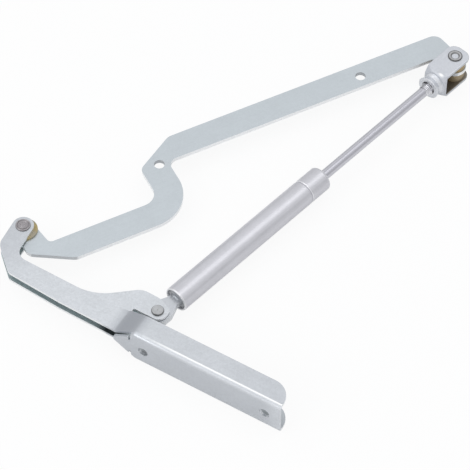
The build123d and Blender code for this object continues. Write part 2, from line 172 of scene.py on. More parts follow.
class Scalar:
    """A float socket that adds Math nodes when Python operators are used on it."""

    def __init__(self, tree: NodeTree, socket: Socket) -> None:
        """Wrap a float output of a node in a tree."""
        self.tree = tree
        self.socket = socket

    def _join(self, operation: str, first: Number, second: Number = 0.0) -> Scalar:
        """Result of one Math node."""
        return Scalar(self.tree, self.tree.add("ShaderNodeMath", {0: first, 1: second}, operation=operation))

    def __add__(self, other: Number) -> Scalar:
        """Sum."""
        return self._join("ADD", self, other)

    __radd__ = __add__

    def __sub__(self, other: Number) -> Scalar:
        """Difference."""
        return self._join("SUBTRACT", self, other)

    def __rsub__(self, other: Number) -> Scalar:
        """Difference from a number."""
        return self._join("SUBTRACT", other, self)

    def __mul__(self, other: Number) -> Scalar:
        """Product."""
        return self._join("MULTIPLY", self, other)

    __rmul__ = __mul__

    def __neg__(self) -> Scalar:
        """The value with its sign changed."""
        return self * -1.0

    def __abs__(self) -> Scalar:
        """Size without its sign."""
        return self._join("ABSOLUTE", self)

    def above(self, limit: float) -> Scalar:
        """One where the value is above the limit, else zero."""
        return self._join("GREATER_THAN", self, limit)

    def below(self, limit: float) -> Scalar:
        """One where the value is below the limit, else zero."""
        return self._join("LESS_THAN", self, limit)

    def larger(self, other: Number) -> Scalar:
        """The larger of two values."""
        return self._join("MAXIMUM", self, other)

    def angle(self, beside: Number) -> Scalar:
        """Angle whose tangent is this value over another, in radians."""
        return self._join("ARCTAN2", self, beside)

    def wave(self) -> Scalar:
        """Sine of the value."""
        return self._join("SINE", self)

    def reach(self, beside: Scalar) -> Scalar:
        """Length of the flat vector that this value and another make."""
        return self._join("SQRT", self * self + beside * beside)

    def ramp(self, low: float, high: float) -> Scalar:
        """Smooth step from 0 to 1 between two values."""
        inputs = {"Value": self, "From Min": low, "From Max": high}
        return Scalar(self.tree, self.tree.add("ShaderNodeMapRange", inputs, interpolation_type="SMOOTHSTEP"))

    def fade(self, low: float, high: float) -> Scalar:
        """Smooth step from 1 down to 0 between two values."""
        return 1.0 - self.ramp(low, high)


class ShaderTree(NodeTree):
    """Nodes of a material or a world, and the patterns that this scene's finishes are made of."""

    @cached_property
    def place(self) -> Socket:
        """Object coordinates, in metres in the fitting's own frame."""
        return self.add("ShaderNodeTexCoord", {}, "Object")

    @cached_property
    def spot(self) -> tuple[Scalar, ...]:
        """Components of the object coordinates."""
        return self.split(self.place)

    @cached_property
    def facing(self) -> tuple[Scalar, ...]:
        """Components of the surface normal at rest, from the object's own frame."""
        return self.split(self.add("ShaderNodeTexCoord", {}, "Normal"))

    def split(self, vector: Socket) -> tuple[Scalar, ...]:
        """Components of a vector."""
        return tuple(Scalar(self, part) for part in self.node("ShaderNodeSeparateXYZ", {0: vector}).outputs)

    def axes(self, grain: Grain, start: Pair) -> tuple[Scalar, Scalar]:
        """Distances from a point, along a grain and to its side."""
        return grain.split(self.spot[0] - start[0], self.spot[1] - start[1])

    def noise(
        self, scale: float | Triple, detail: float, rough: float = 0.5, grain: Grain | None = None
    ) -> Scalar:
        """Noise from 0 to 1.

        Args:
            scale: features per metre, or three of them along a grain, across it and upwards.
            detail: octaves.
            rough: weight of the finer octaves.
            grain: direction in which the noise is drawn out.

        Returns:
            The noise value.
        """
        where = self.place
        if grain is not None:
            where = self.add("ShaderNodeMapping", {"Vector": where, "Rotation": (0.0, 0.0, -grain.turn)})
            where, scale = self.add("ShaderNodeMapping", {"Vector": where, "Scale": scale}), 1.0
        inputs = {"Vector": where, "Scale": scale, "Detail": detail, "Roughness": rough}
        return Scalar(self, self.add("ShaderNodeTexNoise", inputs))

    def cells(self, scale: float) -> Scalar:
        """Brightness of small crystal cells, from 0 to 1."""
        colour = self.add("ShaderNodeTexVoronoi", {"Vector": self.place, "Scale": scale}, "Color")
        return Scalar(self, self.add("ShaderNodeRGBToBW", {0: colour}))

    def blend(self, share: Number, first: object, second: object) -> Socket:
        """Mix of two colours, in which a share belongs to the second one."""
        return self.add("ShaderNodeMix", {0: share, 6: first, 7: second}, 2, data_type="RGBA")

    def relief(self, height: Scalar, depth: float, strength: float) -> Socket:
        """Normal bumped by a relief from 0 to 1, of a depth in metres."""
        return self.add("ShaderNodeBump", {"Height": height, "Distance": depth, "Strength": strength})

    def shown(self, plain: Socket, bright: Socket, to_camera: float, to_mirrors: float) -> Socket:
        """Shader that differs for what looks at it.

        Args:
            plain: what lights the fitting.
            bright: what the camera, mirrors and glass see.
            to_camera: share of the bright one for the camera.
            to_mirrors: its share for mirrors and glass.

        Returns:
            The mixed shader.
        """
        rays, kinds = self.node("ShaderNodeLightPath", {}).outputs, ("Camera", "Glossy", "Transmission")
        camera, mirror, glass = (Scalar(self, rays[f"Is {kind} Ray"]) for kind in kinds)
        share = camera * to_camera + (mirror + glass) * to_mirrors
        return self.add("ShaderNodeMixShader", {0: share, 1: plain, 2: bright})

    def close(self, **sockets: object) -> None:
        """Finish with a Principled shader, from values or links by socket name, with _ for a space."""
        inputs = {name.replace("_", " "): value for name, value in sockets.items()}
        self.node("ShaderNodeOutputMaterial", {"Surface": self.add("ShaderNodeBsdfPrincipled", inputs)})


def toned(tone: Triple, factor: float) -> Triple:
    """A tone made darker or lighter, at most to white."""
    return tuple(min(1.0, factor * part) for part in tone)


def cloud(*parts: tuple[Scalar, float]) -> Scalar:
    """Sum of noises about zero, each with its weight."""
    return sum((noise - 0.5) * weight for noise, weight in parts)


@dataclass(frozen=True)
class Finish:
    """A procedural finish in one main tone."""

    name: str
    tone: Triple

    def material(self) -> bpy.types.Material:
        """Build the finish.

        Returns:
            The material.
        """
        made = bpy.data.materials.new(self.name)
        made.use_nodes = True
        self.paint(ShaderTree(made.node_tree))
        return made

    def paint(self, tree: ShaderTree) -> None:
        """Fill an empty tree with the finish."""
        raise NotImplementedError


@dataclass(frozen=True)
class ZincSheet(Finish):
    """Zinc-plated steel: fine grain, faint clouds, rolling marks, bright sheared edges and painted shade on
    some edges.
    """

    edge_tone: Triple
    grain: Grain
    roughness: float = 0.36
    mottle: float = 0.5
    holes: tuple[Pair, ...] = ()
    holes_across: int = 1
    hole_radius: float = 3.3 * MM
    edge_shade: Triple = (0.5, 0.52, 0.54)
    away: Pair = (0.0, 0.0)
    rolled: Triple = (12.0, 700.0, 700.0)
    torn: Triple = (1500.0, 1500.0, 60.0)

    def paint(self, tree: ShaderTree) -> None:
        """Fill an empty tree with the finish.

        Args:
            tree: the material's tree.
        """
        blotches, specks, crystals = tree.noise(70.0, 3.0), tree.noise(1700.0, 2.0), tree.cells(900.0)
        rolling = tree.noise(self.rolled, 3.0, grain=self.grain)
        tear = tree.noise(self.torn, 2.0, grain=self.grain)
        value = cloud((blotches, 0.3), (specks, 0.4), (crystals, 0.22), (rolling, 0.25))
        dark, light = toned(self.tone, 1.0 - 0.18 * self.mottle), toned(self.tone, 1.0 + 0.16 * self.mottle)
        colour, polish = self.zones(tree, tree.blend((value + 0.5).ramp(0.2, 0.8), dark, light))
        edge = self.edge_mask(tree)
        sheared = tree.blend(tear, toned(self.edge_tone, 0.88), self.edge_tone)
        # Painted shade: hole walls and edges that face away from the light take the darker edge shade tone.
        sheared = tree.blend(self.shaded_edges(tree), sheared, self.edge_shade)
        height = specks * 0.5 + rolling * 0.3 + crystals * 0.2 + edge * tear * 1.2
        tree.close(
            Base_Color=tree.blend(edge, colour, sheared),
            Metallic=0.85,
            Roughness=value * 0.16 + self.roughness - polish + edge * (0.06 + 0.1 * tear),
            Normal=tree.relief(height, 0.04 * MM, 0.45),
        )

    def zones(self, tree: ShaderTree, plated: Socket) -> tuple[Socket, Number]:
        """Colour of the sheet away from its cut edges, and how much smoother it is there."""
        return plated, 0.0

    def shaded_edges(self, tree: ShaderTree) -> Scalar:
        """Painted shade: one on the walls of the holes and on edges that look away from the light.

        Args:
            tree: the shader tree.

        Returns:
            The mask.
        """
        x, across, (nx, ny, _) = tree.spot[0], tree.spot[self.holes_across], tree.facing
        mask = (nx * self.away[0] + ny * self.away[1]).ramp(0.93, 0.99) * 0.8
        for hole_x, hole_across in self.holes:
            mask = mask.larger((x - hole_x).reach(across - hole_across).below(self.hole_radius))
        return mask

    def edge_mask(self, tree: ShaderTree) -> Scalar:
        """One on the sheared edges of a flat sheet, whose normals lie in its plane."""
        return abs(tree.facing[2]).fade(0.35, 0.75)


@dataclass(frozen=True)
class FoldedZinc(ZincSheet):
    """Zinc sheet folded into a channel: painted highlights on its bends, painted shade on its joggles, web
    and flanges, and painted shade inside.
    """

    web: float = 1.8 * MM
    web_half: float = 10.6 * MM
    flange: float = 9.0 * MM
    joggle: Pair = (-59.0 * MM, -43.6 * MM)
    slit: float = 17.0 * MM
    slit_starts: Pair = (-67.0 * MM, -62.0 * MM)
    throat_starts: Pair = (-72.0 * MM, -63.0 * MM)
    throat_ends: Pair = (-47.6 * MM, -40.6 * MM)
    inward: float = 0.4 * MM
    # Painted highlight: the bends' bright line lies where the normal is within this many degrees of straight
    # up.
    highlight_crest: float = 12.0
    bend_starts: Pair = (-42.0 * MM, -16.0 * MM)
    # Spans along X over which the painted shade on the web, the flange tops and the elbow changes.
    web_pales: Pair = (36.0 * MM, 46.0 * MM)
    flange_shade_grows: Pair = (0.0, 45.0 * MM)
    elbow_pales: Pair = (-150.0 * MM, -112.0 * MM)
    inside_lightens: Pair = (-45.0 * MM, 15.0 * MM)
    wall_starts: Pair = (2.5 * MM, 9.0 * MM)
    # Painted shadow behind the second screw hole: its centre in X and Y, and the reach over which it fades.
    shadow_spot: Pair = (35.5 * MM, 5.0 * MM)
    shadow_spot_fades: Pair = (1.5 * MM, 6.0 * MM)
    # Tones of painted shade: the first for the joggles, web, flanges and elbow, the others inside the
    # channel.
    painted_shade: Triple = (0.43, 0.45, 0.485)
    dim: Triple = (0.4, 0.41, 0.43)
    free: Triple = (0.5, 0.53, 0.555)
    deep: Triple = (0.62, 0.69, 0.7)
    black: Triple = (0.12, 0.14, 0.145)

    def inside(self, tree: ShaderTree) -> Scalar:
        """One on faces that look towards the middle of the channel.

        Args:
            tree: the shader tree.

        Returns:
            The mask.
        """
        (_, y, z), (_, ny, nz) = tree.spot, tree.facing
        walls = (z * nz).below(-self.inward) * y.above(self.web)
        return walls.larger(ny.above(0.6) * y.below(self.web) * abs(z).below(self.web_half))

    def shaded_edges(self, tree: ShaderTree) -> Scalar:
        """Painted shade: one on the walls of the web's screw holes."""
        return super().shaded_edges(tree) * tree.spot[1].below(self.web)

    def shadows(self, tree: ShaderTree) -> Socket:
        """Painted shade inside the channel, dark in its narrow throat and behind one screw hole.

        Args:
            tree: the shader tree.

        Returns:
            The colour.
        """
        (x, y, z), slit = tree.spot, self.slit
        narrow = x.ramp(*self.throat_starts) * x.fade(*self.throat_ends) * y.fade(0.3 * slit, 0.7 * slit)
        hollow = tree.blend(x.ramp(*self.inside_lightens), self.dim, self.free)
        shadow_spot = (x - self.shadow_spot[0]).reach(y - self.shadow_spot[1]).fade(*self.shadow_spot_fades)
        walls = tree.blend(shadow_spot * 0.55, hollow, self.black)
        throat = tree.blend(narrow, self.deep, self.black)
        return tree.blend(abs(z).ramp(*self.wall_starts) * (1.0 - narrow), throat, walls)

    def zones(self, tree: ShaderTree, plated: Socket) -> tuple[Socket, Number]:
        """Colour of the folded sheet by zone, with its painted shade and highlights, and how much smoother
        its bends are.

        Args:
            tree: the shader tree.
            plated: colour of the plain plated surface.

        Returns:
            The colour and the polish.
        """
        (x, y, z), ny, upward = tree.spot, tree.facing[1], abs(tree.facing[2])
        low, high = self.joggle
        across = abs((x - (low + high) / 2) * (2.0 / (high - low))).fade(0.3, 1.75)
        # Painted shade on the joggles' slopes, which face away from the light.
        joggle_shade = across * y.above(self.web) * y.below(self.slit)
        # Painted highlight: a soft glow over the bends and a bright line where their normal nears straight
        # up.
        crest = math.cos(math.radians(self.highlight_crest))
        curved = upward.ramp(0.05, 0.4) * upward.fade(0.5 * (1.0 + crest), 0.9998)
        bend = curved * ny.below(-0.02) * x.ramp(*self.bend_starts)
        line = bend * upward.ramp(crest - 0.07, crest)
        # Painted shade: on the web, which faces away from the light, on the flange tops, more towards +X, and
        # on the elbow's top, more towards its left end.
        web = ny.below(-0.5) * (0.45 - x.ramp(*self.web_pales) * 0.3)
        flange_shade_share = x.ramp(*self.flange_shade_grows) * 0.16 + 0.22
        flange = abs(z).above(self.flange) * upward.ramp(0.5, 0.9) * flange_shade_share
        elbow = x.fade(*self.elbow_pales) * upward.above(0.6) * 0.42
        folded = tree.blend(joggle_shade, tree.blend(web + flange + elbow, plated, self.painted_shade), self.painted_shade)
        # The bends are lightened towards white as painted highlight.
        highlighted = tree.blend(bend * 0.12 + line * 0.85, folded, WHITE)
        # Faces inside the channel take the painted shade.
        return tree.blend(self.inside(tree), highlighted, self.shadows(tree)), bend * -0.18

    def edge_mask(self, tree: ShaderTree) -> Scalar:
        """One on the sheared edges of the channel, its plates and its holes.

        Args:
            tree: the shader tree.

        Returns:
            The mask.
        """
        (x, y, _), (nx, ny, nz) = tree.spot, tree.facing
        over_slit = x.ramp(*self.slit_starts) * x.below(self.throat_ends[1]) * ny.below(-0.5)
        over_slit = over_slit * y.above(self.web) * y.below(0.5 * self.slit)
        plain = (nx.above(0.6) * y.below(self.web)).larger(over_slit)
        upright = abs(nz).below(0.5) * (1.0 - plain)
        return upright * y.above(self.web).larger(abs(ny).below(0.5)) * (1.0 - self.inside(tree))


@dataclass(frozen=True)
class StrapZinc(ZincSheet):
    """Zinc strap folded into a fork: sheared sides, painted shade on its inner faces, painted light in its
    mouth and on its neck, and a painted glint on its bend.
    """

    bore: float = 4.5 * MM
    root: float = 6.0 * MM
    skirt: float = -0.6 * MM
    inner_depth: float = 3.0 * MM
    inner_from: float = 1.0 * MM
    inner_darkens: Pair = (-12.0 * MM, 4.0 * MM)
    # Centre of the painted glint on the bend, along the strut and to its side.
    glint: Pair = (1.5 * MM, 3.4 * MM)
    glint_fades: Pair = (0.3 * MM, 1.5 * MM)
    # Tone of the painted shade on the inner faces.
    dim: Triple = (0.2, 0.18, 0.15)

    def zones(self, tree: ShaderTree, plated: Socket) -> tuple[Socket, Number]:
        """Colour of the fork by zone, with its painted shade and light, and how much smoother it is there.

        Args:
            tree: the shader tree.
            plated: colour of the plain plated surface.

        Returns:
            The colour and the polish.
        """
        z, (nx, ny, nz) = tree.spot[2], tree.facing
        along, aside = tree.axes(self.grain, FORK_BASE)
        onward, _ = self.grain.split(nx, ny)
        root = onward.above(0.7) * along.below(self.root)
        # Painted shade on the inner faces of the cheeks and the root.
        inner = (z * nz).below(-self.inner_depth).larger(root) * along.above(self.inner_from)
        # Painted light: the bore of the mouth and, in part, the neck below the base are lightened towards
        # white.
        mouth = aside.reach(z).below(self.bore) * along.below(0.0)
        skirt = along.below(self.skirt) * 0.22
        bend = onward.below(-0.1) * abs(nz).above(0.1) * along.above(0.0)
        # Painted highlight: a small glint on the top face near the bend, lightened towards white and made
        # slightly smoother.
        far = ((along - self.glint[0]) * 1.3).reach((aside - self.glint[1]) * 0.6)
        glint = far.fade(*self.glint_fades) * z.above(0.0)
        painted_light = tree.blend(mouth.larger(glint).larger(skirt), plated, WHITE)
        return tree.blend(inner * along.ramp(*self.inner_darkens), painted_light, self.dim), glint * 0.1 - bend * 0.2

    def edge_mask(self, tree: ShaderTree) -> Scalar:
        """One on the sides of the strap beyond its base."""
        along, (_, sideways) = tree.axes(self.grain, FORK_BASE)[0], self.grain.split(*tree.facing[:2])
        return abs(sideways).above(0.8) * along.above(0.0)


@dataclass(frozen=True)
class DrawnTube(Finish):
    """Drawn or ground steel with fine lines along it, painted reflection bands and rings of painted shade and
    highlight; a ring is its place, its reach, a share and a tone.
    """

    roughness: float
    metallic: float
    streaks: float
    bands: int = 0
    # Tone of the painted reflection bands.
    reflection_tone: Triple = (0.45, 0.45, 0.49)
    band_at: float = 60.0
    line_at: float = 88.0
    rings: tuple[tuple[float, Pair, float, Triple], ...] = ()
    # Tone of the end faces; on the inner faces it is painted light.
    end_tone: Triple = (0.92, 0.92, 0.94)
    lined: Triple = (9.0, 1100.0, 1100.0)

    def painted_reflections(self, tree: ShaderTree, across: Scalar) -> Scalar:
        """Painted reflection: dark bands that a polished rod would mirror, broad ones evenly round it, each
        beside a thin line.

        Args:
            tree: the shader tree.
            across: the normal's component to the side.

        Returns:
            The mask.
        """
        angle = tree.facing[2].angle(across)
        turns = (angle - math.radians(at) for at in (self.band_at, self.line_at))
        broad, thin = ((turn * float(self.bands) + QUARTER).wave() for turn in turns)
        return (broad.ramp(0.05, 0.75) * 0.9).larger(thin.ramp(0.96, 0.995))

    def paint(self, tree: ShaderTree) -> None:
        """Fill an empty tree with the finish.

        Args:
            tree: the material's tree.
        """
        grain, z, (nx, ny, nz) = Grain.ALONG_STRUT, tree.spot[2], tree.facing
        along, aside = tree.axes(grain, STRUT_FOOT)
        onward, across = grain.split(nx, ny)
        # Inner faces lie in shade; like the end faces they take the light end tone, which on them is painted
        # light.
        inward = (aside * across + z * nz).below(0.0)
        lines = tree.noise(self.lined, 3.0, 0.6, grain)
        haze, grit = tree.noise(160.0, 3.0), tree.noise(2600.0, 1.0)
        value = cloud((lines, self.streaks), (haze, 0.25), (grit, 0.2))
        colour = tree.blend((value + 0.5).ramp(0.15, 0.85), toned(self.tone, 0.88), toned(self.tone, 1.1))
        # Painted reflection bands on a polished rod.
        if self.bands:
            colour = tree.blend(self.painted_reflections(tree, across), colour, self.reflection_tone)
        # Rings of painted shade and highlight along the tube.
        for at, reach, share, tone in self.rings:
            colour = tree.blend(abs(along - at).fade(*reach) * share, colour, tone)
        tree.close(
            Base_Color=tree.blend(abs(onward).ramp(0.35, 0.8).larger(inward), colour, self.end_tone),
            Metallic=self.metallic,
            Roughness=value * 0.14 + self.roughness,
            Normal=tree.relief(lines * 0.6 + grit * 0.4, 0.02 * MM, 0.4),
        )


@dataclass(frozen=True)
class TurnedHead(Finish):
    """Turned steel with rings about the axis of a rivet or pin, and painted shade on its sides; a mark is a
    painted ring: a radius, a width and a grey.
    """

    centre: Pair
    ring: float = 0.6 * MM
    roughness: float = 0.23
    # Share of painted shade on the head's sides.
    rim: float = 0.6
    marks: tuple[Triple, ...] = ()

    def paint(self, tree: ShaderTree) -> None:
        """Fill an empty tree with the finish.

        Args:
            tree: the material's tree.
        """
        (onward, aside), upward = tree.axes(Grain.ALONG_WEB, self.centre), abs(tree.facing[2])
        radius = onward.reach(aside)
        rings = ((radius * (2.0 * math.pi / self.ring)).wave() * 0.5 + 0.5) * upward.above(0.9)
        haze = tree.noise(500.0, 3.0)
        face = tree.blend((rings * 0.35 + haze * 0.65).ramp(0.2, 0.8), toned(self.tone, 0.66), self.tone)
        # Painted shade: the head's sides are darkened.
        colour = tree.blend(upward.fade(0.55, 0.97) * self.rim, face, toned(self.tone, 0.3))
        # Marks paint rings of flat grey: dark ones as shade, bright ones as light.
        for at, width, grey in self.marks:
            colour = tree.blend(abs(radius - at).fade(0.4 * width, width), colour, (grey, grey, grey))
        tree.close(
            Base_Color=colour,
            Metallic=0.9,
            Roughness=haze * 0.18 + self.roughness,
            Normal=tree.relief(rings * 0.6 + haze * 0.4, 0.05 * MM, 0.6),
        )


@dataclass(frozen=True)
class Moulded(Finish):
    """Plastic, rubber or brass with fine grain and slight shade changes."""

    roughness: float
    metallic: float = 0.0
    tint: Triple = (0.0, 0.0, 0.0)
    tint_share: float = 0.0

    def paint(self, tree: ShaderTree) -> None:
        """Fill an empty tree with the finish.

        Args:
            tree: the material's tree.
        """
        haze, grain, patches = tree.noise(260.0, 3.0), tree.noise(1900.0, 2.0), tree.noise(110.0, 1.0)
        plain = tree.blend((haze * 0.6 + grain * 0.4).ramp(0.25, 0.75), toned(self.tone, 0.75), self.tone)
        tree.close(
            Base_Color=tree.blend(patches.ramp(0.42, 0.6) * self.tint_share, plain, self.tint),
            Metallic=self.metallic,
            Roughness=grain * 0.16 + (self.roughness - 0.08),
            Normal=tree.relief(grain, 0.03 * MM, 0.5),
        )


@dataclass(frozen=True)
class Paper(Finish):
    """Matt floor that is white to the camera, and partly so to mirrors and glass."""

    to_camera: float
    to_mirrors: float

    def paint(self, tree: ShaderTree) -> None:
        """Fill an empty tree with the finish.

        Args:
            tree: the material's tree.
        """
        matt = tree.add("ShaderNodeBsdfDiffuse", {"Color": self.tone})
        glow = tree.add("ShaderNodeEmission", {"Color": WHITE, "Strength": 1.0})
        seen = tree.shown(matt, glow, self.to_camera, self.to_mirrors)
        tree.node("ShaderNodeOutputMaterial", {"Surface": seen})


def linked(name: str, data: bpy.types.ID) -> bpy.types.Object:
    """New object of the scene, at the origin.

    Args:
        name: its name.
        data: its mesh, lamp or camera.

    Returns:
        The object.
    """
    item = bpy.data.objects.new(name, data)
    bpy.context.scene.collection.objects.link(item)
    return item


def middle(node: str) -> Vector:
    """Centre of a node's box at rest."""
    low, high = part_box(node)
    return (low + high) / 2


class GeometryTree(NodeTree):
    """A Geometry Nodes tree with named inputs, whose shapes lie along X until they are stood in place."""

    def __init__(self, name: str) -> None:
        """Make the tree with its input node and its geometry output.

        Args:
            name: the tree's name.
        """
        super().__init__(bpy.data.node_groups.new(name, "GeometryNodeTree"))
        self.tree.interface.new_socket("Geometry", in_out="OUTPUT", socket_type="NodeSocketGeometry")
        self.start = self.node("NodeGroupInput", {})
        self.values: dict[str, object] = {}

    def size(self, name: str, value: object) -> Scalar | Socket:
        """Add a named input.

        Args:
            name: the input's name.
            value: what the modifier gives it.

        Returns:
            The input inside the tree, ready for sums where it is a number.
        """
        kind = next(kind for form, kind in SOCKET_KINDS if isinstance(value, form))
        self.tree.interface.new_socket(name, in_out="INPUT", socket_type=kind)
        self.values[name] = value
        inside = self.start.outputs[name]
        return Scalar(self, inside) if isinstance(value, (int, float)) else inside

    def vector(self, x: Number, y: Number, z: Number) -> Socket:
        """Vector of three values."""
        return self.add("ShaderNodeCombineXYZ", {0: x, 1: y, 2: z})

    def less(self, first: Socket, second: object) -> Socket:
        """Difference of two vectors."""
        return self.add("ShaderNodeVectorMath", {0: first, 1: second}, operation="SUBTRACT")

    def scaled(self, vector: Socket, factor: Number) -> Socket:
        """Vector made longer or shorter."""
        return self.add("ShaderNodeVectorMath", {0: vector, 3: factor}, operation="SCALE")

    def shift(self, geometry: Socket, to: object = ORIGIN, turn: object = ORIGIN) -> Socket:
        """Geometry turned, then moved."""
        return self.add("GeometryNodeTransform", {0: geometry, "Translation": to, "Rotation": turn})

    def grouped(self, *parts: Socket) -> Socket:
        """Geometry of several parts, not made one."""
        return self.add("GeometryNodeJoinGeometry", {0: list(parts)})

    def solid(self, operation: str, inputs: dict) -> Socket:
        """Closed mesh that one exact boolean makes."""
        return self.add("GeometryNodeMeshBoolean", inputs, operation=operation, solver="EXACT")

    def common(self, first: Socket, second: Socket) -> Socket:
        """What two closed meshes share."""
        return self.solid("INTERSECT", {1: [first, second]})

    def joined(self, *meshes: Socket) -> Socket:
        """Closed meshes made one."""
        return self.solid("UNION", {1: list(meshes)})

    def cut(self, first: Socket, second: Socket) -> Socket:
        """First closed mesh without what the second one takes."""
        return self.solid("DIFFERENCE", {0: first, 1: second})

    def box(self, x: Number, y: Number, z: Number) -> Socket:
        """Closed box about the origin."""
        return self.add("GeometryNodeMeshCube", {"Size": self.vector(x, y, z)})

    def cone(self, low: Number, high: Number, start: Number, length: Number) -> Socket:
        """Closed cone about X from a low radius at its start to a high one."""
        sizes = {"Vertices": FACETS, "Radius Bottom": low, "Radius Top": high, "Depth": length}
        return self.shift(self.add("GeometryNodeMeshCone", sizes), self.vector(start, 0.0, 0.0), UP_TO_X)

    def circle(self, corners: int, radius: Number) -> Socket:
        """Circle as a curve."""
        return self.add("GeometryNodeCurvePrimitiveCircle", {"Resolution": corners, "Radius": radius})

    def wire(self, curve: Socket, section: Socket) -> Socket:
        """Smooth wire of a section along a curve, closed at its ends."""
        swept = self.add("GeometryNodeCurveToMesh", {0: curve, 1: section, "Fill Caps": True})
        return self.add("GeometryNodeSetShadeSmooth", {0: swept})

    def end(self, geometry: Socket, material: bpy.types.Material) -> None:
        """Realize the instances, set the material and link the tree's output.

        Args:
            geometry: the finished shape.
            material: its finish.
        """
        plain = self.add("GeometryNodeRealizeInstances", {0: geometry})
        painted = self.add("GeometryNodeSetMaterial", {0: plain, "Material": self.size("Material", material)})
        self.node("NodeGroupOutput", {0: painted})

    def piece(
        self, name: str, body: Body, slot: Slot, voxel: float = 0.0, rounds: int = 0
    ) -> bpy.types.Object:
        """Run the tree once, keep its result as a plain mesh and let it ride with a body.

        Args:
            name: name of the finished piece.
            body: the body that it rides with.
            slot: a material slot name; not used.
            voxel: grid on which the shape is made one skin, or 0 to keep it as it is.
            rounds: smoothing rounds after that.

        Returns:
            The finished piece.
        """
        carrier = linked(f"{name}.carrier", bpy.data.meshes.new(f"{name}.carrier"))
        shape = carrier.modifiers.new("shape", "NODES")
        shape.node_group = self.tree
        for item in self.tree.interface.items_tree:
            if item.in_out == "INPUT":
                value = self.values[item.name]
                shape[item.identifier] = tuple(value) if isinstance(value, Euler) else value
        if voxel:
            skin = carrier.modifiers.new("skin", "REMESH")
            skin.mode, skin.voxel_size, skin.use_smooth_shade = "VOXEL", voxel, True
            soft = carrier.modifiers.new("soft", "SMOOTH")
            soft.factor, soft.iterations = 0.5, rounds
        mesh = bpy.data.meshes.new_from_object(carrier.evaluated_get(bpy.context.evaluated_depsgraph_get()))
        mesh.name = name
        mesh.materials.clear()
        mesh.materials.append(self.values["Material"])
        bpy.data.objects.remove(carrier)
        made = linked(name, mesh)
        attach(made, body.value)
        LOG.info("%s has %d faces", name, len(mesh.polygons))
        return made


@dataclass(frozen=True)
class HeadRings:
    """Uneven rings left by the forming tool on both heads of a rivet."""

    node: str
    count: int
    first: float
    step: float
    wire: float
    sink: float
    tone: Triple
    uneven: float = 0.06 * MM
    seed: float = 3.0
    bumps: float = 900.0
    facets: int = 72
    wire_facets: int = 10

    def build(self) -> None:
        """Make circles of growing size, swept to wires, on both ends of the rivet."""
        low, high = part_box(self.node)
        centre = middle(self.node)
        made = GeometryTree(f"{self.node} rings")
        number = Scalar(made, made.add("GeometryNodeInputIndex", {}))
        radius = number * made.size("Step", self.step) + made.size("First radius", self.first)
        points = made.add("GeometryNodePoints", {"Count": made.size("Rings", self.count)})
        circle, wider = made.circle(self.facets, 1.0), made.vector(radius, radius, 1.0)
        inputs = {"Points": points, "Instance": circle, "Scale": wider}
        nested = made.add("GeometryNodeInstanceOnPoints", inputs)
        section = made.circle(self.wire_facets, made.size("Wire radius", self.wire))
        wires = made.wire(made.add("GeometryNodeRealizeInstances", {0: nested}), section)
        inputs = {"W": made.size("Seed", self.seed), "Scale": self.bumps, "Detail": 1.0}
        inputs["Vector"] = made.add("GeometryNodeInputPosition", {})
        bumps = made.add("ShaderNodeTexNoise", inputs, "Color", noise_dimensions="4D")
        offset = made.scaled(made.less(bumps, (0.5, 0.5, 0.5)), made.size("Unevenness", self.uneven) * 4.0)
        formed = made.add("GeometryNodeSetPosition", {0: wires, "Offset": offset})
        up = made.vector(0.0, 0.0, made.size("Half height", (high.z - low.z) / 2 - self.sink))
        start = made.less(made.size("Centre", tuple(centre)), up)
        inputs = {"Count": 2, "Start Location": start, "Offset": made.scaled(up, 2.0)}
        ends = made.add("GeometryNodeMeshLine", inputs, mode="OFFSET")
        both = made.add("GeometryNodeInstanceOnPoints", {"Points": ends, "Instance": formed})
        finish = TurnedHead(f"{self.node} rings steel", self.tone, (centre.x, centre.y), rim=0.0)
        made.end(both, finish.material())
        made.piece(f"{self.node}_rings", Body.BRACKET, Slot.RIVET)


@dataclass(frozen=True)
class FlatHeads:
    """Both headed ends of a rivet, set nearly flush into the plates."""

    node: str
    shank: float = 2.5 * MM
    inner_end: float = 2.4 * MM
    seat: float = 3.8 * MM
    head: float = 3.5 * MM
    height: float = 0.9 * MM
    edge: float = 0.3 * MM

    def build(self, material: bpy.types.Material) -> None:
        """Make one end from turned steps, turn it both ways up, and let both stand for the plain rivet.

        Args:
            material: their finish.
        """
        made = GeometryTree(f"{self.node} heads")
        shank, head = made.size("Shank radius", self.shank), made.size("Head radius", self.head)
        inner, seat = made.size("Inner end", self.inner_end), made.size("Seat", self.seat)
        height, edge = made.size("Head height", self.height), made.size("Edge", self.edge)
        side = height - edge
        end = made.joined(
            made.cone(shank, shank, inner, seat - inner + edge),
            made.cone(head, head, seat, side),
            made.cone(head, head - edge, seat + side, edge),
        )
        both = made.grouped(*(made.shift(end, turn=(0.0, turn, 0.0)) for turn in (-QUARTER, QUARTER)))
        made.end(made.shift(both, made.size("Centre", tuple(middle(self.node)))), material)
        heads = made.piece(f"{self.node}_heads", Body.BRACKET, Slot.RIVET)
        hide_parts(self.node)


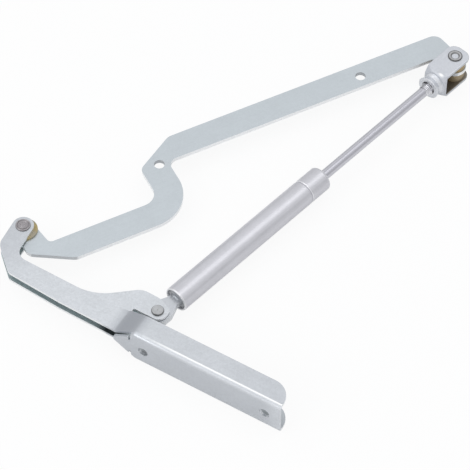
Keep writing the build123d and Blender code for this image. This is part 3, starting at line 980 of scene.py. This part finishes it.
@dataclass(frozen=True)
class Thread:
    """Thread that shows on the rod in front of its nut."""

    radius: float = 2.95 * MM
    pitch: float = 1.0 * MM
    turns: float = 4.0
    ridge: float = 0.32 * MM
    start: float = 222.3 * MM
    facets: int = 48
    ridge_facets: int = 8

    def build(self, material: bpy.types.Material) -> None:
        """Make a helix, swept to a rounded ridge and stood along the strut.

        Args:
            material: the thread's finish.
        """
        turn = Grain.ALONG_STRUT.turn
        foot = (STRUT_FOOT[0] + self.start * math.cos(turn), STRUT_FOOT[1] + self.start * math.sin(turn), 0.0)
        made = GeometryTree("rod thread")
        radius, turns = made.size("Radius", self.radius), made.size("Turns", self.turns)
        height = made.size("Pitch", self.pitch) * turns
        sizes = {"Rotations": turns, "Start Radius": radius, "End Radius": radius, "Height": height}
        helix = made.add("GeometryNodeCurveSpiral", {"Resolution": self.facets, **sizes})
        ridge = made.wire(helix, made.circle(self.ridge_facets, made.size("Ridge", self.ridge)))
        stood = made.size("Turned", Euler((-QUARTER, 0.0, turn - QUARTER)))
        made.end(made.shift(ridge, made.size("Foot", foot), stood), material)
        made.piece("rod_thread", Body.ROD, Slot.ROD)


@dataclass(frozen=True)
class ForkBody:
    """Fork with round-ended cheeks, a turned shoulder that cuts its faces to arcs, and a flared neck."""

    half_width: float = 7.6 * MM
    half_height: float = 8.8 * MM
    length: float = 25.5 * MM
    corner: float = 5.6 * MM
    root: float = 2.8 * MM
    slot_half: float = 6.8 * MM
    shoulder: float = 8.2 * MM
    foot: float = 7.9 * MM
    waist: float = 5.9 * MM
    waist_rise: float = 2.0 * MM
    mouth: float = 7.2 * MM
    neck: float = 5.6 * MM
    bore: float = 4.3 * MM
    bore_depth: float = 1.6 * MM
    spare: float = 0.1 * MM
    voxel: float = 0.28 * MM
    rounds: int = 8

    def cheeks(self, made: GeometryTree, width: Scalar, height: Scalar) -> Socket:
        """Both cheeks on their root, with faces that the turned shoulder cuts to arcs.

        Args:
            made: the fork's tree.
            width: width of the fork.
            height: its height across both cheeks.

        Returns:
            Their mesh.
        """
        length, corner = made.size("Length", self.length), made.size("Corner radius", self.corner)
        root, shoulder = made.size("Root thickness", self.root), made.size("Shoulder radius", self.shoulder)
        slot = made.size("Slot half", self.slot_half) * 2.0
        pillar = made.add("GeometryNodeMeshCylinder", {"Vertices": FACETS, "Radius": corner, "Depth": height})
        far, side = length - corner, width * 0.5 - corner
        parts = made.grouped(
            made.shift(made.box(root, width, height), made.vector(root * 0.5, 0.0, 0.0)),
            made.shift(pillar, made.vector(far, side, 0.0)),
            made.shift(pillar, made.vector(far, -side, 0.0)),
        )
        block = made.add("GeometryNodeConvexHull", {0: parts})
        rounded = made.common(block, made.cone(shoulder, shoulder + length, 0.0, length + self.spare))
        opening, gap = made.box(height, width + height, slot), root + height * 0.5
        near = made.shift(opening, made.vector(gap, 0.0, 0.0))
        return made.cut(made.cut(rounded, near), made.shift(opening, made.vector(gap + corner, 0.0, 0.0)))

    def build(self, material: bpy.types.Material) -> None:
        """Make the cheeks, the skirt under them and the bored neck, and let them stand for the plain fork.

        Args:
            material: its finish.
        """
        made = GeometryTree("fork")
        width = made.size("Half width", self.half_width) * 2.0
        height = made.size("Half height", self.half_height) * 2.0
        waist, rise = made.size("Waist radius", self.waist), made.size("Waist height", self.waist_rise)
        neck, bore = made.size("Neck length", self.neck), made.size("Bore radius", self.bore)
        depth = made.size("Bore depth", self.bore_depth)
        cone = made.cone(waist, made.size("Foot radius", self.foot), -rise, rise * 1.5)
        skirt = made.common(cone, made.box(height, width, height))
        flare = made.cone(made.size("Mouth radius", self.mouth), waist, -neck, neck - rise)
        socket = made.cut(flare, made.cone(bore, bore, -neck - depth, depth * 2.0))
        whole = made.grouped(self.cheeks(made, width, height), skirt, socket)
        stood = made.size("Turned", Euler((0.0, 0.0, Grain.ALONG_STRUT.turn)))
        made.end(made.shift(whole, made.size("Base", (*FORK_BASE, 0.0)), stood), material)
        fork = made.piece("fork_body", Body.ROD, Slot.FORK, self.voxel, self.rounds)
        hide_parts("clevis")


@dataclass(frozen=True)
class Assembly:
    """One sub-assembly of the fitting, with the frame's nodes by name."""

    nodes: dict[str, bpy.types.Object]

    def give(self, finish: Finish, *names: str) -> bpy.types.Material:
        """Give nodes of the frame a finish.

        Args:
            finish: the finish.
            names: the nodes.

        Returns:
            Its material.
        """
        material = finish.material()
        for name in names:
            piece = self.nodes[name]
            if not piece.material_slots:
                piece.data.materials.append(material)
            for slot in piece.material_slots:
                slot.material = material
            LOG.info("%s dressed in %s", name, material.name)
        return material

    def turned(self, node: str, name: str, tone: Triple, **sizes: object) -> bpy.types.Material:
        """Give a node turned steel with rings about its own axis."""
        spot = middle(node)
        return self.give(TurnedHead(name, tone, (spot.x, spot.y), **sizes), node)


@dataclass(frozen=True)
class Bracket(Assembly):
    """Folded bracket with the rivets of both lower pivots."""

    rings: tuple[HeadRings, ...] = (
        HeadRings("pivot_rivet", 3, 1.15 * MM, 1.35 * MM, 0.26 * MM, 0.12 * MM, (0.52, 0.49, 0.5)),
        HeadRings("strut_rivet", 1, 2.75 * MM, 0.0, 0.16 * MM, 1.26 * MM, (0.66, 0.67, 0.68), 0.02 * MM),
    )
    # Painted shade on the walls of the web's screw holes, in a near-black tone.
    sheet: FoldedZinc = FoldedZinc(
        "bracket zinc", (0.67, 0.695, 0.725), (0.94, 0.95, 0.96), Grain.ALONG_WEB, mottle=0.6,
        holes=((-38.2 * MM, 0.0), (38.2 * MM, 0.0)), holes_across=2, edge_shade=(0.17, 0.185, 0.19),
    )
    # Painted shade on the lower rivet's head: a dark ring at its edge and a dark spot at its centre.
    marks: tuple[Triple, ...] = ((3.45 * MM, 0.35 * MM, 0.15), (0.0, 0.5 * MM, 0.35))

    def dress(self) -> None:
        """Give the bracket and its rivets their finishes, and add the lower rivet's heads and the rings."""
        self.give(self.sheet, "hinge_bracket")
        self.turned("pivot_rivet", "pivot_rivet steel", (0.4, 0.38, 0.395))
        steel = self.turned("strut_rivet", "strut_rivet steel", (0.57, 0.58, 0.59), rim=0.0, marks=self.marks)
        FlatHeads("strut_rivet").build(steel)
        for rings in self.rings:
            rings.build()


@dataclass(frozen=True)
class LidArm(Assembly):
    """Cranked flat arm with its bush, washers and tip spacers."""

    # Painted shade on the walls of the arm's two holes and on its edges that face away from the light.
    sheet: ZincSheet = ZincSheet(
        "arm zinc", (0.575, 0.62, 0.65), (0.98, 0.99, 1.0), Grain.ALONG_LEG, roughness=0.4, mottle=0.3,
        holes=((-100.45 * MM, 115.11 * MM), (-35.19 * MM, 233.52 * MM)), away=(0.519, -0.855),
    )
    yellow: Moulded = Moulded("yellow chromate", (0.46, 0.37, 0.17), 0.42, 0.5, (0.36, 0.33, 0.26), 0.9)
    brown: Moulded = Moulded("brown chromate", (0.46, 0.34, 0.17), 0.42, 0.4, (0.34, 0.29, 0.21), 0.7)

    def dress(self) -> None:
        """Give the arm and the small yellow pieces their finishes."""
        self.give(self.sheet, "lid_arm")
        self.give(self.yellow, "pivot_bush", "pivot_washers")
        self.give(self.brown, "tip_spacers")


@dataclass(frozen=True)
class Fork(Assembly):
    """Fork at the rod's end with its rivet, its nut and the thread in front of that."""

    body: ForkBody = ForkBody()
    thread: Thread = Thread()
    sheet: StrapZinc = StrapZinc(
        "fork zinc", (0.64, 0.66, 0.7), (0.62, 0.64, 0.68), Grain.ALONG_STRUT, roughness=0.38, mottle=0.4
    )
    # Dark patches on the chrome of the nut and the thread are painted reflections.
    chrome: Moulded = Moulded("nut chrome", (0.9, 0.9, 0.92), 0.16, 0.95, (0.12, 0.12, 0.14), 0.95)
    # Painted shade in two dark rings on the fork's rivet head, and painted light in a near-white disc at its
    # centre.
    marks: tuple[Triple, ...] = ((4.1 * MM, 0.5 * MM, 0.12), (2.3 * MM, 0.5 * MM, 0.2), (0.0, 1.6 * MM, 0.98))

    def dress(self) -> None:
        """Give the fork, its rivet and its nut their finishes, and add the fork's body and the thread."""
        self.body.build(self.give(self.sheet, "clevis"))
        self.turned("clevis_rivet", "clevis_rivet steel", (0.55, 0.55, 0.56), rim=0.2, marks=self.marks)
        self.thread.build(self.give(self.chrome, "rod_nut"))


@dataclass(frozen=True)
class GasStrut(Assembly):
    """Gas strut: tube, rod, eye and the sealed pieces inside."""

    finishes: tuple[tuple[Finish, tuple[str, ...]], ...] = (
        (
            DrawnTube(
                "tube silver", (0.62, 0.62, 0.655), 0.35, 0.8, 0.4,
                # Painted shade in the crimp groove, and a painted highlight on the tube's end rim.
                rings=(
                    (118.3 * MM, (0.15 * MM, 0.65 * MM), 0.75, (0.45, 0.45, 0.49)),
                    (14.3 * MM, (0.2 * MM, 0.7 * MM), 0.45, WHITE),
                ),
            ),
            ("strut_tube",),
        ),
        # The rod's three dark bands are painted reflections.
        (DrawnTube("rod chrome", (0.6, 0.6, 0.64), 0.29, 1.0, 0.3, bands=3), ("piston_rod",)),
        (
            ZincSheet("eye zinc", (0.6, 0.62, 0.65), (0.8, 0.82, 0.84), Grain.ALONG_STRUT, mottle=0.4),
            ("strut_eye",),
        ),
        (DrawnTube("inner aluminium", (0.6, 0.6, 0.61), 0.4, 0.9, 0.2), ("piston", "piston_nut")),
        (Moulded("plug grey", (0.52, 0.53, 0.55), 0.5, 0.3), ("end_plug",)),
        (Moulded("inner plastic", (0.7, 0.68, 0.62), 0.5), ("rod_guide", "seal_washer", "piston_ring")),
        (Moulded("seal rubber", (0.03, 0.03, 0.03), 0.6), ("rod_seal",)),
        (Moulded("eye bush", (0.42, 0.35, 0.2), 0.42, 0.5), ("eye_bush",)),
    )

    def dress(self) -> None:
        """Give every piece of the strut its finish."""
        for finish, names in self.finishes:
            self.give(finish, *names)
        self.turned("strut_pin", "pin steel", (0.5, 0.5, 0.5))


@dataclass(frozen=True)
class Lamp:
    """A soft rectangular lamp aimed at the middle of the fitting."""

    name: str
    azimuth: float
    elevation: float
    distance: float
    size: Pair
    power: float


@dataclass(frozen=True)
class Studio:
    """Floor, light and camera, at the photograph's viewing angle."""

    floor_height: float
    floor_half: float = 4.0
    floor_tone: Triple = (0.88, 0.88, 0.88)
    floor_share: float = 0.9
    mirror_share: float = 0.36
    room_low: Triple = (0.44, 0.445, 0.455)
    room_high: Triple = (0.97, 0.98, 1.0)
    room_high_at: float = 0.7
    room_strength: float = 0.95
    target: Triple = (-37.28 * MM, 94.47 * MM, 0.0)
    azimuth: float = -58.746
    elevation: float = 52.0
    distance: float = 1.39
    focal_pixels: float = 2480.0
    frame_pixels: float = 470.0
    sensor: float = 36.0
    clip: Pair = (0.05, 20.0)
    lamps: tuple[Lamp, ...] = (
        Lamp("lamp front", -116.0, 31.0, 1.5, (1.0, 0.6), 3.9),
        Lamp("lamp right", 56.0, 61.0, 1.5, (0.9, 0.42), 1.15),
        Lamp("lamp left", 185.0, 60.0, 1.6, (0.7, 0.7), 1.2),
    )

    def aim(self, item: bpy.types.Object, azimuth: float, elevation: float, distance: float) -> None:
        """Stand an object in some direction from the target, looking at it.

        Args:
            item: the lamp or camera.
            azimuth: degrees about Z from +X.
            elevation: degrees above the floor.
            distance: metres.
        """
        turn, lift = math.radians(azimuth), math.radians(elevation)
        away = Vector((math.cos(lift) * math.cos(turn), math.cos(lift) * math.sin(turn), math.sin(lift)))
        item.location = Vector(self.target) + away * distance
        item.rotation_euler = (Vector(self.target) - item.location).to_track_quat("-Z", "Y").to_euler()

    def camera(self) -> None:
        """Add the camera."""
        data = bpy.data.cameras.new("camera")
        data.sensor_width = self.sensor
        data.lens = self.sensor * self.focal_pixels / self.frame_pixels
        data.clip_start, data.clip_end = self.clip
        item = linked("camera", data)
        self.aim(item, self.azimuth, self.elevation, self.distance)
        bpy.context.scene.camera = item

    def light(self) -> None:
        """Add the lamps."""
        for lamp in self.lamps:
            data = bpy.data.lights.new(lamp.name, "AREA")
            data.shape = "RECTANGLE"
            data.size, data.size_y = lamp.size
            data.energy = lamp.power
            self.aim(linked(lamp.name, data), lamp.azimuth, lamp.elevation, lamp.distance)

    def room(self) -> None:
        """Add the room: bright overhead, dimmer towards the floor line, white to the camera."""
        world = bpy.data.worlds.new("room")
        world.use_nodes = True
        tree = ShaderTree(world.node_tree)
        _, _, up = tree.split(tree.add("ShaderNodeTexCoord", {}, "Generated"))
        stops = ((0.0, self.room_low), (self.room_high_at, self.room_high))
        sky = tree.add("ShaderNodeValToRGB", {0: up}, stops=stops)
        walls = tree.add("ShaderNodeBackground", {"Color": sky, "Strength": self.room_strength})
        white = tree.add("ShaderNodeBackground", {"Color": WHITE})
        tree.node("ShaderNodeOutputWorld", {"Surface": tree.shown(walls, white, 1.0, self.mirror_share)})
        bpy.context.scene.world = world

    def floor(self) -> None:
        """Add a wide pale floor that keeps a faint shadow."""
        low, high = -self.floor_half, self.floor_half
        corners = [(x, y, self.floor_height) for x, y in ((low, low), (high, low), (high, high), (low, high))]
        mesh = bpy.data.meshes.new("floor")
        mesh.from_pydata(corners, [], [(0, 1, 2, 3)])
        paper = Paper("floor white", self.floor_tone, self.floor_share, self.mirror_share)
        mesh.materials.append(paper.material())
        item = linked("floor", mesh)
        item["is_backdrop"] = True

    def build(self) -> None:
        """Add everything that isn't part of the fitting."""
        self.floor()
        self.light()
        self.room()
        self.camera()
        bpy.context.scene.view_settings.view_transform = "Standard"


def as_lists(corners: Iterable[Iterable[float]]) -> list[list[float]]:
    """Corners as plain lists of numbers."""
    return [[float(value) for value in corner] for corner in corners]


def main() -> None:
    """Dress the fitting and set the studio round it."""
    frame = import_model()
    cad_box = as_lists(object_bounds())
    nodes = frame["nodes"]
    for group in (Bracket(nodes), LidArm(nodes), Fork(nodes), GasStrut(nodes)):
        group.dress()
        LOG.info("%s done", type(group).__name__)
    Studio(floor_height=cad_box[0][2]).build()


if __name__ == "__main__":
    main()
